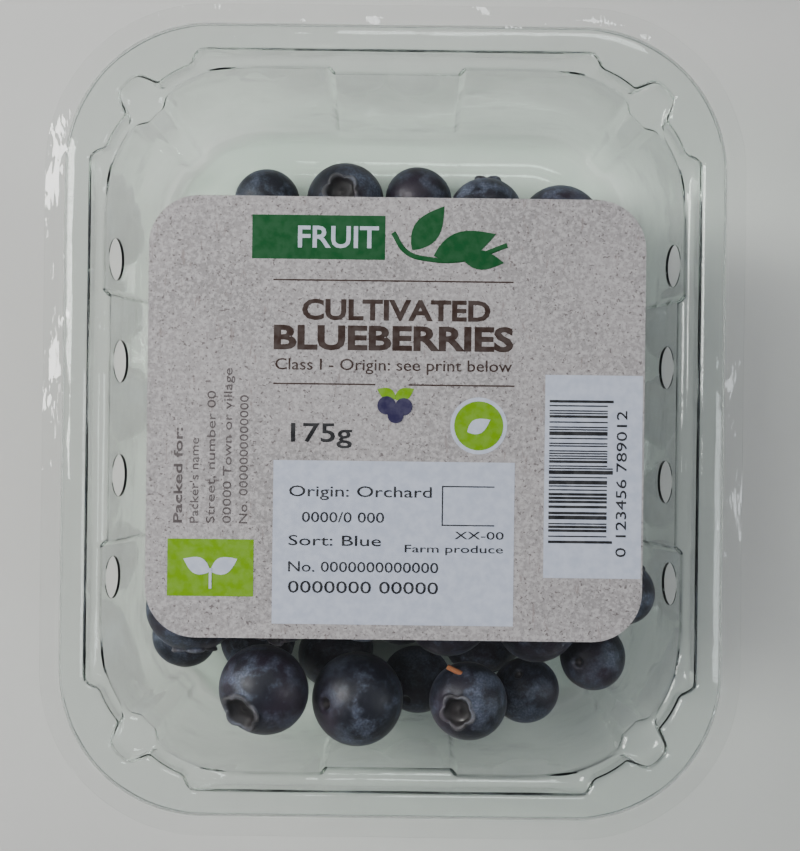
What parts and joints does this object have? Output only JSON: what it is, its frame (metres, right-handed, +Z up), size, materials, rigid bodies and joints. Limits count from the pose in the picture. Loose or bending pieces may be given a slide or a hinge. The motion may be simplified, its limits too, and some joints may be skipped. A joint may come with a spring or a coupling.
{
  "type": "sealed punnet of blueberries",
  "caption": "Clear thermoformed tray with rounded corners, sealed with a clear film that carries a paper label, and filled with loose blueberries.",
  "frame": {"origin": "on the surface the tray stands on, under the middle of its rim", "axes": "+Z up; +Y along the tray's length, towards the top edge of the label; +X across it, to the right as the label is read"},
  "size_m": [0.123, 0.146, 0.0409],
  "materials": {
    "clear_pet": "clear thermoformed sheet, glossy",
    "clear_film": "clear thin film, glossy, with small wrinkles at the seal",
    "label_paper": "satin printed paper with a fine speckle",
    "berry_skin": "dark blue fruit skin with a pale waxy bloom"
  },
  "bodies": {
    "root": {"tray": "clear_pet", "sealing_film": "clear_film", "label": "label_paper", "bottom_berries": "berry_skin", "berry_01": "berry_skin", "berry_02": "berry_skin", "berry_03": "berry_skin", "berry_04": "berry_skin", "berry_05": "berry_skin", "berry_06": "berry_skin", "berry_07": "berry_skin", "berry_08": "berry_skin", "berry_09": "berry_skin", "berry_10": "berry_skin", "berry_11": "berry_skin", "berry_12": "berry_skin", "berry_13": "berry_skin", "berry_14": "berry_skin", "berry_15": "berry_skin", "berry_16": "berry_skin", "berry_17": "berry_skin", "berry_18": "berry_skin", "berry_19": "berry_skin", "berry_20": "berry_skin", "berry_21": "berry_skin", "berry_22": "berry_skin", "berry_23": "berry_skin", "berry_24": "berry_skin", "berry_25": "berry_skin", "berry_26": "berry_skin", "berry_27": "berry_skin", "berry_28": "berry_skin", "berry_29": "berry_skin", "berry_30": "berry_skin", "berry_31": "berry_skin", "berry_32": "berry_skin", "berry_33": "berry_skin", "berry_34": "berry_skin", "berry_35": "berry_skin", "berry_36": "berry_skin", "berry_37": "berry_skin", "berry_38": "berry_skin", "berry_39": "berry_skin", "berry_40": "berry_skin", "berry_41": "berry_skin", "berry_42": "berry_skin", "berry_43": "berry_skin", "berry_44": "berry_skin", "berry_45": "berry_skin", "berry_46": "berry_skin", "berry_47": "berry_skin", "berry_48": "berry_skin", "berry_49": "berry_skin", "berry_50": "berry_skin", "berry_51": "berry_skin", "berry_52": "berry_skin", "berry_53": "berry_skin", "berry_54": "berry_skin", "berry_55": "berry_skin", "berry_56": "berry_skin"}
  },
  "joints": []
}
